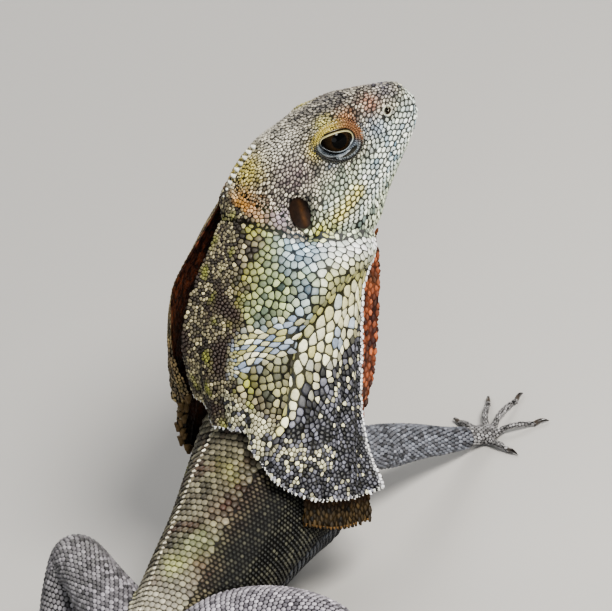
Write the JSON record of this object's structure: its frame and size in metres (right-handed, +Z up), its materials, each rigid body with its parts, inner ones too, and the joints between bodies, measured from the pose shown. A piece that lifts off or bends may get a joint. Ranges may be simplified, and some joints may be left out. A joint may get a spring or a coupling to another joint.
{
  "type": "frilled lizard",
  "caption": "Frilled lizard resting on the floor with its head raised and turned, the pleated frill folded back along the neck, limbs spread and a long tail behind",
  "frame": {"origin": "on the floor, under the middle of the animal's box", "axes": "+Z up, the length of the body and tail along Y with the head at +Y, the animal's right side at +X"},
  "size_m": [0.1894, 0.6256, 0.1497],
  "materials": {
    "skin": "dry keeled scales, olive grey with yellow-green spots",
    "frill": "dry scales, pale yellow-green to grey black",
    "frill_inside": "thin skin, orange brown",
    "eye": "wet gloss, dark brown"
  },
  "bodies": {
    "root": {"head": "skin", "eye_left": "eye", "eye_right": "eye", "neck": "skin", "frill_left": "frill", "frill_right": "frill", "frill_fold": "frill_inside", "torso": "skin", "hips": "skin", "tail_1": "skin", "tail_2": "skin", "tail_3": "skin", "tail_4": "skin", "upper_arm_left": "skin", "upper_arm_right": "skin", "forearm_left": "skin", "forearm_right": "skin", "hand_left": "skin", "hand_right": "skin", "thigh_left": "skin", "thigh_right": "skin", "shin_left": "skin", "shin_right": "skin", "foot_left": "skin", "foot_right": "skin"}
  },
  "joints": []
}
